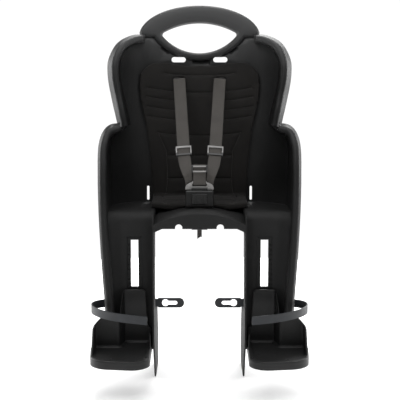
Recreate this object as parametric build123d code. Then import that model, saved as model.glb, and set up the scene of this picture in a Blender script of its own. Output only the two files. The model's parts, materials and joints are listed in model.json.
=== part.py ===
"""Rear child seat for a bicycle: moulded shell, pad, harness, sliding footrests and rod clamp.

Millimetres, Z up, X to the right of someone facing the seat, Y towards the backrest.
Depths are measured from the toe of the footrests, as `deep(depth)` turns them into Y.
"""

import math
import os

from build123d import *

# Overall
MIDDLE = 175.75          # depth halfway between the toe and the back of the handle
THROUGH = 800.0          # reach of a cut that goes right through
GAP = 0.3                # between neighbouring pieces
RUN = 0.6                # between pieces that slide on each other

# Shell
WALL = 3.2               # moulded wall
ROLL = 6.0               # radius of the rolled rim, to the middle of the wall
PAN_Z = 341.0            # middle of the seat pan
BACK_AT_PAN = 300.0      # depth of the backrest at the pan
BACK_LEAN = 0.05         # lean of the backrest at the pan
BACK_CURVE = 0.00011     # growth of that lean with height
BACK_FLAT = 105.0        # half width of the flat of the backrest
BACK_CUP = 0.0088        # how fast its sides come forward beyond that
RIB_X, RIB_WIDE, RIB_TALL = 74.0, 7.0, 5.0   # stiffening ribs on its back
RIB_FOOT, RIB_TOP = PAN_Z + 25, PAN_Z + 249
CALF = 152.0             # depth of the wall behind the calves
CALF_BEND = 20.0         # radius over the front edge of the pan
CALF_FOOT = PAN_Z - 279         # bottom of that wall
CALF_SWEEP = 16.0        # how far it comes forward at the outer side
GUARD_X = 90.0           # half distance between the spoke guards
NOSE = 95.0              # depth of the front of the nose
BROW = 111.0             # depth where its rounded front ends
NOSE_FOOT = PAN_Z - 24   # bottom edge of the nose
NOSE_EDGE = PAN_Z - 19   # height of the arch of the nose at its sides
NOSE_CREST = PAN_Z + 11  # and in the middle
PAN_FALL, PAN_LIFT = 12.0, 16.0      # fall of its middle and lift of its sides on the way to the back

# Handle
GRIP_WIDE, GRIP_TALL = 128.5, 67.0   # half axes of the outer arch
GRIP_Z = PAN_Z + 349     # height where the arch stands
GRIP_DEEP = 20.0
GRIP_PROUD = 8.0         # in front of the backrest
GRIP_BAND = 16.0         # band under the hand opening
GRIP_TIP = 9.0           # rounding of the ends of the arch
HAND_HALF = 82.0         # half width of the hand opening
HAND_TOP, HAND_MID, HAND_LOW = GRIP_Z + 31, GRIP_Z + 8, GRIP_Z - 33.6

# Harness
WEB, WEB_THICK = 25.0, 1.6
STRAP_X, STRAP_Z = 42.6, PAN_Z + 260     # shoulder slots
SPARE_X, SPARE_Z = 44.0, GRIP_Z - 47.5   # spare shoulder slots
LAP_X, LAP_Z = 109.0, PAN_Z + 20         # lap slots
SLOT_LONG, SLOT_TALL = 30.0, 8.0
STRAP_DEPTH = 140.0      # crotch strap
STRAP_LOW_X = 22.0       # lower ends of the shoulder straps
KINK_X, KINK_RISE = 30.5, 44.0       # bend of a shoulder strap, above its lower end
KINK_DROP = 15.0         # from the middle of the adjuster to that bend
LOOP_LONG = 40.0         # loop through the tongue

# Buckle and tongue
BUCKLE_WIDE, BUCKLE_TALL, BUCKLE_DEEP = 56.0, 34.0, 21.0
BUCKLE_FOOT = NOSE_CREST + 1
BUCKLE_MID = 138.5       # depth of the middle of the tongue
TONGUE_TALL, TONGUE_THICK = 17.0, 3.0
BLADE_WIDE, BLADE_LONG = 24.0, 20.0
BUTTON_WIDE, BUTTON_TALL, BUTTON_DEEP = 30.0, 20.0, 5.5
BUTTON_PRESS = 2.0

# Footrests
SLOT_X, SLOT_WIDE = 129.0, 15.0      # slot that a footrest slides in
SLOT_FOOT, SLOT_TOP = PAN_Z - 214, PAN_Z - 55
TRACK, TRACK_DEEP = 29.0, 1.2        # recess around the slot
PIT, PIT_PITCH = 3.0, 10             # pits beside the slot that the clip clicks into
NECK_LOW, NECK_TOP = SLOT_FOOT + 1, SLOT_FOOT + 57
FOOT_SOLE, FOOT_LIP = SLOT_FOOT - 45, 16.0   # top of the sole, depth of its skirt
FOOT_WALL = 3.0
CUP_TALL = NECK_TOP + 3 - FOOT_SOLE      # back plate above the sole
SOLE_RIM = 9.0           # rim around the sunk floor of a footrest
DRAIN = 5.0              # drain holes
FOOT_REAR = 143.5        # depth of the back plate of a footrest
FOOT_BAND, FOOT_BAND_THICK = 16.0, 2.4
FOOT_BAND_Z = NECK_LOW + 24
TAIL_BAND = 20.0
BAND_REAR = 176.0        # depth of the foot band behind the calf wall

# Rod clamp under the pan
ROD_X, ROD_Z, ROD_R = 40.0, NOSE_FOOT + 2, 6.0
BLOCK_FRONT, BLOCK_BACK, BLOCK_HALF = 205.0, 284.0, 64.0
PLATE_FOOT = ROD_Z - 11
BOLT_X, BOLT_DEPTHS, BOLT_R = 20.0, (219.0, 270.0), 3.0
HEAD_R, HEAD_TALL = 6.0, 3.0

# Reflector
REFLECTOR_Z = PAN_Z + 129

# Pad
PAD = 9.0
PAD_FRONT = 168.0
PAD_TOP = NOSE_CREST + 5

parts = {}


def deep(depth):
    """Y of a depth behind the toe."""
    return depth - MIDDLE


def spot(x, depth, z):
    return Vector(x, deep(depth), z)


def both(piece):
    """A piece and its mirror image."""
    return [piece, mirror(piece, about=Plane.YZ)]


def joined(first, *others):
    """Pieces fused one after another."""
    for other in others:
        first = first + other
    return first


def block(x, depth, z):
    """A box between three pairs of limits, the middle pair as depths."""
    size = [high - low for low, high in (x, depth, z)]
    middle = [(low + high) / 2 for low, high in (x, depth, z)]
    return Pos(spot(*middle)) * Box(*size)


def front_prism(face):
    """A front view, drawn with X across and Z up, carried through the whole depth."""
    return extrude(Plane.XZ * face, amount=THROUGH, both=True)


def side_prism(points, radius, x):
    """A side view of (depth, height) corners, rounded and extruded between two values of X."""
    line = FilletPolyline(*[(deep(d), z) for d, z in points], radius=radius, close=True)
    plane = Plane((x[0], 0, 0), x_dir=(0, 1, 0), z_dir=(1, 0, 0))
    return extrude(plane * make_face(line), amount=x[1] - x[0])


def beside(points, distance):
    """Points moved sideways from a run of points in a plane, to its left."""
    moved = []
    for i, (x, y) in enumerate(points):
        x0, y0 = points[max(i - 1, 0)]
        x1, y1 = points[min(i + 1, len(points) - 1)]
        long = math.hypot(x1 - x0, y1 - y0)
        moved.append((x - distance * (y1 - y0) / long, y + distance * (x1 - x0) / long))
    return moved


def strip(points, thick):
    """A curved strip, drawn on XY, through points along its middle."""
    left, right = Spline(*beside(points, thick / 2)), Spline(*beside(points, -thick / 2))
    return Face(Wire([left, Line(left @ 1, right @ 1), right, Line(right @ 0, left @ 0)]))


# Shell: rolled rims, lofted from sections across the rim
def between(keys, share):
    """Smooth row of values at a place counted in keys."""
    i = min(int(share), len(keys) - 2)
    rows = [keys[min(max(i + k, 0), len(keys) - 1)] for k in (-1, 0, 1, 2)]
    t = share - i
    weights = [(-t + 2 * t**2 - t**3) / 2, (2 - 5 * t**2 + 3 * t**3) / 2,
               (t + 4 * t**2 - 3 * t**3) / 2, (t**3 - t**2) / 2]
    return [sum(w * row[k] for w, row in zip(weights, rows)) for k in range(len(keys[0]))]


def rim_stations(keys):
    """Stations at the keys of a rim and halfway between them, each with its direction outwards."""
    stations = []
    for i in range(2 * len(keys) - 1):
        before, after = between(keys, max(i / 2 - 0.2, 0)), between(keys, min(i / 2 + 0.2, len(keys) - 1))
        out = Vector(after[1] - before[1], 0, before[0] - after[0]).normalized()
        x, rise, *rest = between(keys, i / 2)
        stations.append((out, x, PAN_Z + rise, *rest))
    return stations


def rim(out, x, z, front, rear, flange, flare):
    """Section of the rim: return flange, roll and side wall."""
    def side(half):
        rows = [(flare + half, front + flange), (half, front + ROLL), (-ROLL, front - half),
                (-2 * ROLL - half, front + ROLL), (-2 * ROLL - half, rear)]
        return [spot(x, d, z) + out * o for o, d in rows]

    return wall_face(side(WALL / 2), side(-WALL / 2))


def wall_face(a, b):
    """Section of a wall along a line, an arc and a line, between its two sides."""
    return Face(Wire([Line(a[0], a[1]), ThreePointArc(*a[1:4]), Line(a[3], a[4]), Line(a[4], b[4]),
                      Line(b[4], b[3]), ThreePointArc(b[3], b[2], b[1]), Line(b[1], b[0]),
                      Line(b[0], a[0])]))


def behind(stations):
    """Front view of a line just outside the side wall behind a rim."""
    inset = 2 * ROLL - 3
    return [(x - inset * out.X, z - inset * out.Z) for out, x, z, *_ in stations]


# x, height above the pan, front, rear, flange, flare
arm_stations = rim_stations([
    (178.5, -281, 119, 165, 22, 4), (180, -224, 115, 165, 23, 5), (183, -167, 114, 165, 24, 5),
    (187, -116, 118, 167, 25, 5), (190.5, -66, 124, 180, 26, 5), (193.5, -16, 132, 220, 26, 5),
    (195.5, 34, 141, 275, 26, 5), (196.5, 84, 152, 303, 26, 5), (195.5, 129, 167, 304, 24, 5),
    (185, 158, 183, 304, 22, 5), (160, 169.5, 201, 304, 20, 5)])
head_stations = rim_stations([
    (158, 164, 229, 311, 22, 8), (164, 194, 229, 314, 25, 9), (171.5, 229, 236, 319, 30, 10),
    (178, 265, 241, 323, 32, 10), (177, 299, 250, 326, 31, 10), (163, 330, 267, 330, 27, 7),
    (138, 346, 290, 333, 20, 4), (118, 349, 308, 335, 14, 2)])
arm_rim = loft([rim(*s) for s in arm_stations])
head_rim = loft([rim(*s) for s in head_stations])


# Shell: backrest
def back_depth(x, z):
    rise = z - PAN_Z
    return (BACK_AT_PAN + BACK_LEAN * rise + BACK_CURVE * rise**2
            - BACK_CUP * max(0, abs(x) - BACK_FLAT)**2)


def back_strip(half, near, far, low, high):
    """A sheet that follows the backrest between two distances in front of its middle."""
    across = [half * i / 8 for i in range(-8, 9)]

    def section(z):
        middle = [(x, deep(back_depth(x, z))) for x in across]
        a, b = Spline(*beside(middle, -near)), Spline(*beside(middle, -far))
        face = Face(Wire([a, Line(a @ 1, b @ 1), b, Line(b @ 0, a @ 0)]))
        return Pos(0, 0, z) * face

    return loft([section(low + (high - low) * i / 4) for i in range(5)])


arm_line = behind([s for s in arm_stations if s[2] > PAN_Z - 19])
head_line = behind(head_stations[1:])
half_front = make_face(
    Polyline((0, PAN_Z - 19), (arm_line[0][0], PAN_Z - 19), arm_line[0]) + Polyline(*arm_line)
    + Polyline(arm_line[-1], (head_line[0][0] + 4, arm_line[-1][1]), head_line[0])
    + Polyline(*head_line) + Polyline(head_line[-1], (head_line[-1][0], HAND_MID - 2), (0, HAND_MID - 2),
                                      (0, PAN_Z - 19)))

hand_rises = HAND_TOP - HAND_MID, HAND_MID - HAND_LOW
hand_up, hand_down = [(HAND_HALF**2 + rise**2) / (2 * rise) for rise in hand_rises]


def hand_hole(grow):
    """Hand opening, an eye between two arcs."""
    eye = (Pos(0, HAND_TOP - hand_up) * Circle(hand_up + grow)
           & Pos(0, HAND_LOW + hand_down) * Circle(hand_down + grow))
    return fillet(eye.vertices(), 7 + grow)


def grip_outline(inset):
    """Front of the handle: an arch and a band that follows the hand opening below."""
    arch = (Pos(0, GRIP_Z) * Ellipse(GRIP_WIDE - inset, GRIP_TALL - inset)
            & Pos(0, GRIP_Z + inset + 100) * Rectangle(400, 200))
    outline = arch + (Pos(0, HAND_LOW + hand_down) * Circle(hand_down + GRIP_BAND - inset)
                      & Pos(0, GRIP_Z - 80) * Rectangle(400, 200))
    foot = outline.vertices().filter_by(lambda v: abs(v.Y - GRIP_Z - inset) < 0.1)
    outline = fillet(foot.filter_by(lambda v: abs(v.X) > GRIP_WIDE - 15), GRIP_TIP - inset)
    foot = outline.vertices().filter_by(lambda v: abs(v.Y - GRIP_Z - inset) < 0.1)
    return fillet(foot.filter_by(lambda v: abs(v.X) < GRIP_WIDE - 25), GRIP_TIP / 2 + inset)


backrest = back_strip(200, WALL / 2, -WALL / 2, PAN_Z - 21, HAND_MID)
backrest = backrest & front_prism(half_front + mirror(half_front, about=Plane.YZ))
backrest -= front_prism(grip_outline(WALL / 2))
ribs = back_strip(BACK_FLAT, 0, -WALL / 2 - RIB_TALL, RIB_FOOT, RIB_TOP)
rib_front = Pos(0, (RIB_FOOT + RIB_TOP) / 2) * SlotOverall(RIB_TOP - RIB_FOOT, RIB_WIDE, rotation=90)
ribs = [ribs & front_prism(Pos(x, 0) * rib_front) for x in (-RIB_X, RIB_X)]

# Shell: handle, a channel open to the back
grip_foot = HAND_LOW - GRIP_BAND
grip_rise = GRIP_Z + GRIP_TALL - grip_foot
grip_run = back_depth(0, grip_foot + grip_rise) - back_depth(0, grip_foot)
grip_plane = Plane(spot(0, back_depth(0, grip_foot) - GRIP_PROUD, grip_foot), x_dir=(1, 0, 0),
                   z_dir=(0, -grip_rise, grip_run))


def grip_ring(inset):
    return Pos(0, -grip_foot) * (grip_outline(inset) - hand_hole(inset))


handle = extrude(grip_plane * grip_ring(0), amount=-GRIP_DEEP)
handle = fillet(handle.faces().sort_by(Axis(grip_plane.origin, grip_plane.z_dir))[-1].edges(), ROLL)
handle -= extrude(grip_plane.offset(-WALL) * grip_ring(WALL), amount=-GRIP_DEEP)


# Shell: pan that bends down into the wall behind each calf, lofted from the inner to the outer side
def calf_section(share):
    """Section at a share of the way from the spoke guard to the side wall."""
    depth = CALF - CALF_SWEEP * max(0, (share - 0.62) / 0.38)**2
    low_x, high_x = GUARD_X + share * 76, GUARD_X + share * 90.5

    def side(half):
        bend = CALF_BEND + half
        middle = depth + CALF_BEND
        top = PAN_Z + half
        slant = math.sqrt(0.5) * bend
        rows = [(BACK_AT_PAN, top), (middle, top), (middle - slant, PAN_Z - CALF_BEND + slant),
                (middle - bend, PAN_Z - CALF_BEND), (middle - bend, CALF_FOOT)]
        lean = (high_x - low_x) / (PAN_Z - CALF_FOOT)
        return [spot(low_x + (z - CALF_FOOT) * lean, d, z) for d, z in rows]

    return wall_face(side(WALL / 2), side(-WALL / 2))


calf = loft([calf_section(share) for share in (0, 0.15, 0.3, 0.45, 0.6, 0.7, 0.8, 0.9, 1)])
calf -= back_strip(200, -WALL / 2, -90, PAN_Z - 21, PAN_Z + 21)


# Shell: centre of the pan, an arch that flattens to the back, with an apron across its front
def arch_section(depth, edge, crest, low=-WALL / 2, high=WALL / 2):
    """Section between two heights measured from the middle of the wall."""
    def side(lift):
        rows = (-GUARD_X, edge), (0, crest), (GUARD_X, edge)
        return [spot(x, depth, z + lift) for x, z in rows]

    a, b = side(high), side(low)
    return Face(Wire([ThreePointArc(*a), Line(a[2], b[2]), ThreePointArc(b[2], b[1], b[0]),
                      Line(b[0], a[0])]))


def pan_arch(low=-WALL / 2, high=WALL / 2):
    """The pan, or the room above or below it, from the brow to the backrest."""
    steps = [BROW + i * (BACK_AT_PAN - BROW) / 2 for i in range(3)]
    return loft([arch_section(d, NOSE_EDGE + PAN_LIFT * i / 2, NOSE_CREST - PAN_FALL * i / 2, low, high)
                 for i, d in enumerate(steps)])


def pan_height(x, depth):
    """About the height of the middle of the pan's wall."""
    share = (depth - BROW) / (BACK_AT_PAN - BROW)
    edge, crest = NOSE_EDGE + PAN_LIFT * share, NOSE_CREST - PAN_FALL * share
    return crest - (crest - edge) * (x / GUARD_X)**2


pan = pan_arch()
brow = loft([arch_section(d, NOSE_EDGE, NOSE_CREST - drop)
             for d, drop in ((NOSE, 8), ((NOSE + BROW) / 2, 2), (BROW, 0))])
apron = make_face(Polyline((GUARD_X, NOSE_EDGE), (GUARD_X, NOSE_FOOT - 8), (GUARD_X - 18, NOSE_FOOT),
                           (18 - GUARD_X, NOSE_FOOT), (-GUARD_X, NOSE_FOOT - 8), (-GUARD_X, NOSE_EDGE))
                  + ThreePointArc((-GUARD_X, NOSE_EDGE), (0, NOSE_CREST - 8), (GUARD_X, NOSE_EDGE)))
apron -= [Pos(x, ROD_Z) * Circle(ROD_R + 1) for x in (-ROD_X, ROD_X)]
apron -= [Pos(x, ROD_Z - 10) * Rectangle(2 * ROD_R + 2, 20) for x in (-ROD_X, ROD_X)]
apron = extrude(Plane.XZ.offset(-deep(NOSE + WALL)) * apron, amount=WALL)

# Shell: spoke guards, which the seat stands on
guard_low, guard_high = FOOT_BAND_Z - TAIL_BAND / 2 - 6, SLOT_TOP + 10
guard = side_prism([(NOSE + 2, PAN_Z), (NOSE + 2, 96), (165, 0), (262, 0), (274, 70), (252, guard_low),
                    (CALF + 8, guard_low), (CALF + 8, guard_high), (BACK_AT_PAN, guard_high + 22),
                    (BACK_AT_PAN, PAN_Z)],
                   10, (GUARD_X - WALL / 2, GUARD_X + WALL / 2))

shell = joined(backrest, *ribs, *both(head_rim), handle)
seat = joined(pan, brow, apron, *both(guard), *both(calf))
shell = joined(shell, seat, *both(arm_rim))


def slot_prism(x, z, wide, tall, near=0, far=THROUGH):
    """A round-ended opening seen from the front, between two depths."""
    flat = RectangleRounded(wide, tall, min(wide, tall) / 2 - 0.1)
    return extrude(Plane.XZ.offset(-deep(far)) * Pos(x, z) * flat, amount=far - near)


shell -= [cut for x, z in ((STRAP_X, STRAP_Z), (SPARE_X, SPARE_Z - 1))
          for cut in both(slot_prism(x, z, SLOT_LONG, SLOT_TALL + (x == SPARE_X) * 3, 280))]
shell -= both(slot_prism(LAP_X, LAP_Z, 5, SLOT_LONG, 270))
calf_front = CALF - WALL / 2
track = block((SLOT_X - SLOT_WIDE / 2, SLOT_X + SLOT_WIDE / 2), (CALF - 20, CALF + 20),
              (SLOT_FOOT, SLOT_TOP))
track += block((SLOT_X - TRACK / 2, SLOT_X + TRACK / 2), (CALF - 20, calf_front + TRACK_DEEP),
               (CALF_FOOT + 18, SLOT_TOP + 6))
pit_x = SLOT_X + (SLOT_WIDE + TRACK) / 4
track += [block((pit_x - PIT / 2, pit_x + PIT / 2), (CALF - 20, calf_front + 2 * TRACK_DEEP), (z, z + PIT))
          for z in range(round(NECK_TOP) + 10, round(SLOT_TOP) - 10, PIT_PITCH)]
shell -= both(track)
shell -= block((-SLOT_LONG / 2, SLOT_LONG / 2), (STRAP_DEPTH - 4, STRAP_DEPTH + 4),
               (NOSE_EDGE, NOSE_CREST + 20))


def bolt(radius, low, high):
    """Cylinders at the four bolts of the rod clamp."""
    return [Pos(spot(x, d, (low + high) / 2)) * Cylinder(radius, high - low)
            for x in (-BOLT_X, BOLT_X) for d in BOLT_DEPTHS]


shell -= bolt(BOLT_R + GAP, PAN_Z - 20, PAN_Z + 20)
parts["seat_shell"] = shell

# Pad: an L over the backrest and the pan
pad_side = [(98, 0), (103, 79), (112, 159), (126, 239), (124, 271)]
pad_head = [(124, 271), (96, 293), (52, 291), (0, 289)]
pad_half = make_face(Polyline((0, 289), (0, 0), (98, 0)) + Spline(*pad_side) + Spline(*pad_head))
pad_half = Pos(0, PAN_Z) * pad_half
pad = back_strip(140, WALL / 2 + GAP, WALL / 2 + GAP + PAD, PAN_Z + WALL / 2 + GAP, HAND_LOW)
pad = pad & front_prism(pad_half + mirror(pad_half, about=Plane.YZ))
cushion = make_face(FilletPolyline((-98, deep(290)), (-98, deep(196)), (-60, deep(PAD_FRONT)),
                                   (60, deep(PAD_FRONT)), (98, deep(196)), (98, deep(290)), radius=20)
                    + Line((98, deep(290)), (-98, deep(290))))
pad_foot = PAN_Z + WALL / 2 + GAP
cushion = extrude(Pos(0, 0, pad_foot) * cushion, amount=PAD_TOP - pad_foot)
cushion_rim = cushion.faces().sort_by(Axis.Z)[-1].edges()
cushion = fillet(cushion_rim.filter_by(lambda edge: edge.center().Y < deep(280)), 3)
cushion -= pan_arch(-30, WALL / 2 + GAP)
pad = pad + cushion
head_z = pan_height(BOLT_X - HEAD_R, BOLT_DEPTHS[0]) + WALL / 2 + GAP
pad -= bolt(HEAD_R + 1, PAN_Z, head_z + HEAD_TALL + GAP)
pad -= both(slot_prism(STRAP_X, STRAP_Z, SLOT_LONG, SLOT_TALL, 280))
parts["seat_pad"] = pad

# Layers of webbing at the tongue, one behind another
loop_front = BUCKLE_MID - TONGUE_THICK / 2 - GAP - WEB_THICK / 2
loop_back = BUCKLE_MID + TONGUE_THICK / 2 + GAP + WEB_THICK / 2
strap_end = loop_back + WEB_THICK + GAP
buckle_top = BUCKLE_FOOT + BUCKLE_TALL
tongue_foot = buckle_top + GAP
strap_low = tongue_foot + TONGUE_TALL
kink_z = strap_low + KINK_RISE
loop_foot = tongue_foot + 10
loop_top = loop_foot + LOOP_LONG

# Shoulder straps: each leans towards the buckle, and more so under its adjuster
slot_depth = back_depth(STRAP_X, STRAP_Z)
strap_in, strap_out = slot_depth - 16, slot_depth + 8
kink_depth = strap_end + (strap_in - strap_end) * (KINK_RISE - 12) / (STRAP_Z - strap_low - 12)


def strap_plane(low, high):
    """Plane of a strap's edge between two (x, height) ends; X runs to the back and Y up the strap."""
    up = Vector(high[0] - low[0], 0, high[1] - low[1])
    return Plane((low[0], 0, low[1]), x_dir=(0, 1, 0), z_dir=up.cross(Vector(0, -1, 0))), up.length


def strap_run(plane, points):
    """Webbing along (depth, distance up the strap) points."""
    line = FilletPolyline(*[(deep(d), up) for d, up in points], radius=5) if len(points) > 2 else \
        Line(*[(deep(d), up) for d, up in points])
    face = make_face(Wire(line.edges()).offset_2d(WEB_THICK / 2, kind=Kind.INTERSECTION))
    return extrude(plane * face, amount=WEB / 2, both=True)


low_plane, low_long = strap_plane((STRAP_LOW_X, strap_low), (KINK_X, kink_z))
high_plane, high_long = strap_plane((KINK_X, kink_z), (STRAP_X, STRAP_Z))
strap = joined(strap_run(low_plane, [(strap_end, 0), (strap_end, 12), (kink_depth, low_long)]),
               strap_run(high_plane, [(kink_depth, 0), (strap_in, high_long), (strap_out, high_long),
                                      (strap_out, high_long - 26)]))
parts["shoulder_strap_right"], parts["shoulder_strap_left"] = both(strap)

# Bars behind the backrest that the shoulder straps hang over
anchor_far = slot_depth + 8 - WEB_THICK / 2 - GAP
anchor = block((STRAP_X - 18, STRAP_X + 18), (slot_depth + WALL / 2 + GAP, anchor_far),
               (STRAP_Z - 22, STRAP_Z - 7))
anchor = fillet(anchor.edges().filter_by(Axis.X), 2)
parts["strap_anchor_right"], parts["strap_anchor_left"] = both(anchor)


# Slides that webbing is woven through: bars in front, behind and in front of it
def woven_slide(tall, thick, bar):
    rail = WEB / 2 + 2 * GAP
    face = thick / 2 + GAP
    slide = Box(2 * rail + 5, tall, 2 * face + 4) - Box(2 * rail, tall + 1, 2 * face + 5)
    for y, low in ((tall / 2 - bar / 2, face), (0, -face - 2), (bar / 2 - tall / 2, face)):
        slide += Pos(0, y, low + 1) * Box(2 * rail + 2, bar, 2)
    return fillet(slide.edges().filter_by(Axis.Z), 0.8)


strap_along = (high_plane.x_dir * (strap_in - kink_depth) + high_plane.y_dir * high_long).normalized()
adjuster_at = spot(KINK_X, kink_depth, kink_z) + strap_along * KINK_DROP
adjuster = Plane(adjuster_at, x_dir=high_plane.z_dir, z_dir=high_plane.z_dir.cross(strap_along))
adjuster = adjuster * woven_slide(22, WEB_THICK, 4)
parts["strap_adjuster_right"], parts["strap_adjuster_left"] = both(adjuster)

# Tongue: plate with a slot for its loop and a blade in the buckle
tongue = make_face(FilletPolyline((-28, 0), (28, 0), (28, 5), (22, TONGUE_TALL), (-22, TONGUE_TALL),
                                  (-28, 5), radius=2, close=True))
tongue = Pos(0, tongue_foot) * tongue
tongue -= Pos(0, loop_foot) * RectangleRounded(WEB + 4, 5, 2)
tongue += Pos(0, tongue_foot - BLADE_LONG / 2 + 1) * Rectangle(BLADE_WIDE, BLADE_LONG + 2)
tongue -= Pos(0, tongue_foot - BLADE_LONG + 9) * Rectangle(10, 6)
parts["tongue"] = extrude(Plane.XZ.offset(-deep(BUCKLE_MID)) * tongue, amount=TONGUE_THICK / 2, both=True)

# Loop of webbing through the tongue and the slide that closes it
loop_line = FilletPolyline((deep(loop_front), loop_top), (deep(loop_front), loop_foot),
                           (deep(loop_back), loop_foot), (deep(loop_back), loop_top), radius=1.5)
loop_face = make_face(Wire(loop_line.edges()).offset_2d(WEB_THICK / 2, kind=Kind.INTERSECTION))
parts["tongue_loop"] = extrude(Plane.YZ * loop_face, amount=WEB / 2, both=True)
loop_mid, loop_thick = (loop_front + loop_back) / 2, loop_back - loop_front + WEB_THICK
slide_plane = Plane(spot(0, loop_mid, loop_top - 8), x_dir=(1, 0, 0), z_dir=(0, -1, 0))
parts["tongue_slide"] = slide_plane * woven_slide(13, loop_thick, 3)

# Buckle: two halves, a button in the front one
buckle_front = BUCKLE_MID - BUCKLE_DEEP / 2
split = buckle_front + 5
buckle_mid_z = BUCKLE_FOOT + BUCKLE_TALL / 2
buckle = block((-BUCKLE_WIDE / 2, BUCKLE_WIDE / 2), (buckle_front, buckle_front + BUCKLE_DEEP),
               (BUCKLE_FOOT, buckle_top))
buckle = fillet(buckle.edges(), 4)


def button_block(grow, near, far):
    return block((-BUTTON_WIDE / 2 - grow, BUTTON_WIDE / 2 + grow), (near, far),
                 (buckle_mid_z - BUTTON_TALL / 2 - grow, buckle_mid_z + BUTTON_TALL / 2 + grow))


cover = buckle & block((-50, 50), (0, split), (BUCKLE_FOOT - 1, buckle_top + 1))
parts["buckle_cover"] = cover - button_block(GAP, 0, split + 1)
body = buckle & block((-50, 50), (split + GAP, THROUGH), (BUCKLE_FOOT - 1, buckle_top + 1))
body -= button_block(2 + GAP, 0, BUCKLE_MID)
blade_room = TONGUE_THICK / 2 + GAP
body -= block((-BLADE_WIDE / 2 - GAP, BLADE_WIDE / 2 + GAP),
              (BUCKLE_MID - blade_room, BUCKLE_MID + blade_room),
              (tongue_foot - BLADE_LONG - 1, tongue_foot))
web_room = WEB_THICK / 2 + GAP
body -= block((-WEB / 2 - GAP, WEB / 2 + GAP), (STRAP_DEPTH - web_room, STRAP_DEPTH + web_room),
              (BUCKLE_FOOT - 1, BUCKLE_FOOT + 10))
parts["buckle_body"] = body
button = button_block(0, buckle_front - 1, split + GAP + 0.1)
button = fillet(button.faces().sort_by(Axis.Y)[0].edges(), 1.5)
button += button_block(2, split + GAP + 0.1, split + GAP + 1.1)
parts["buckle_button"] = button

# Crotch strap with its cut tail, and the slide under the nose
crotch = block((-WEB / 2, WEB / 2), (STRAP_DEPTH - WEB_THICK / 2, STRAP_DEPTH + WEB_THICK / 2),
               (NOSE_FOOT - 8, BUCKLE_FOOT + 9))
tail = Pos(0, NOSE_FOOT) * make_face(Polyline((-4.5, -7), (-4.5, -21), (4.5, -27), (4.5, -7), close=True))
crotch += extrude(Plane.XZ.offset(-deep(STRAP_DEPTH)) * tail, amount=WEB_THICK / 2, both=True)
parts["buckle_strap"] = crotch
stop_plane = Plane(spot(0, STRAP_DEPTH, NOSE_FOOT - 2), x_dir=(1, 0, 0), z_dir=(0, -1, 0))
parts["buckle_stop"] = stop_plane * woven_slide(13, WEB_THICK, 3)


# Footrests
def plan(corners):
    """Closed outline from (x, depth, radius) corners, on XY."""
    points, radii = [(x, deep(d)) for x, d, _ in corners], [r for *_, r in corners]
    return make_face(FilletPolyline(*points, radius=radii, close=True))


sole = plan([(93.5, -4.7, 34), (205, 9.3, 42), (213, 98, 8), (206, 109, 4), (160, 109, 4), (152, 146, 6),
             (95, 146, 6)])
foot = extrude(Pos(0, 0, FOOT_SOLE - FOOT_LIP) * sole, amount=FOOT_LIP)
foot = fillet(foot.faces().sort_by(Axis.Z)[-1].edges(), 2.5)
foot -= extrude(Pos(0, 0, FOOT_SOLE - FOOT_LIP) * offset(sole, -FOOT_WALL), amount=FOOT_LIP - 5.5)
foot -= extrude(Pos(0, 0, FOOT_SOLE - 1.5) * offset(sole, -SOLE_RIM), amount=1.5)
cup_plan = (204, 44), (206, 106), (158, 106), (151, FOOT_REAR), (97, FOOT_REAR), (97, 96)
cup_line = FilletPolyline(*[(x, deep(d)) for x, d in cup_plan], radius=6)
cup = make_face(Wire(cup_line.edges()).offset_2d(FOOT_WALL / 2, kind=Kind.INTERSECTION))
cup = extrude(Pos(0, 0, FOOT_SOLE - 3) * cup, amount=CUP_TALL + 5)
cup_front = Pos(0, FOOT_SOLE) * make_face(FilletPolyline(
    (215, -22), (215, 34), (192, 59), (157, 59), (152, CUP_TALL), (107, CUP_TALL), (103, 30), (90, 22),
    (90, -22), radius=8, close=True))
cup = cup & front_prism(cup_front)
cup_side = [(38, -22), (38, 6), (88, 59), (96, CUP_TALL + 10), (150, CUP_TALL + 10), (150, -22)]
cup = cup & side_prism([(d, FOOT_SOLE + rise) for d, rise in cup_side], 8, (80, 220))
neck_half = SLOT_WIDE / 2 - RUN
clip_near = CALF + WALL / 2 + RUN
neck = block((SLOT_X - neck_half, SLOT_X + neck_half), (FOOT_REAR, clip_near - GAP),
             (NECK_LOW, NECK_TOP))
foot = joined(foot, cup, neck)
foot_screws = [(SLOT_X, z) for z in (NECK_LOW + 5, NECK_TOP - 5)]


def foot_bolt(radius, near, far):
    return [Plane(spot(x, (near + far) / 2, z), z_dir=(0, 1, 0)) * Cylinder(radius, far - near)
            for x, z in foot_screws]


foot -= foot_bolt(1.5 + GAP / 3, FOOT_REAR, THROUGH)
foot -= [Pos(spot(x, d, FOOT_SOLE)) * Cylinder(DRAIN / 2, 20) for x, d in ((102, 32), (166, 24))]
parts["footrest_right"], parts["footrest_left"] = both(foot)

# Clips behind the slots, with a bridge that the foot band runs under
clip_far = clip_near + 6
clip = block((SLOT_X - 22, SLOT_X + 22), (clip_near, clip_far), (NECK_LOW - 6, NECK_TOP + 6))
clip = fillet(clip.edges().filter_by(Axis.Y), 5)
band_low, band_high = FOOT_BAND_Z - FOOT_BAND / 2 - GAP, FOOT_BAND_Z + FOOT_BAND / 2 + GAP
band_near, band_far = [BAND_REAR + way * (FOOT_BAND_THICK / 2 + RUN) for way in (-1, 1)]
bridge = block((SLOT_X - 15, SLOT_X + 15), (clip_far - 1, band_far + 3), (band_low - 2.5, band_high + 2.5))
bridge -= block((0, 300), (band_near, band_far), (band_low, band_high))
bridge -= block((SLOT_X - 12.5, SLOT_X + 12.5), (clip_far, band_near - 3), (band_low, band_high))
clip = joined(clip, bridge)
for hole in foot_bolt(1.5 + GAP / 2, 0, THROUGH):
    clip -= hole
parts["footrest_clip_right"], parts["footrest_clip_left"] = both(clip)
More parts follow.
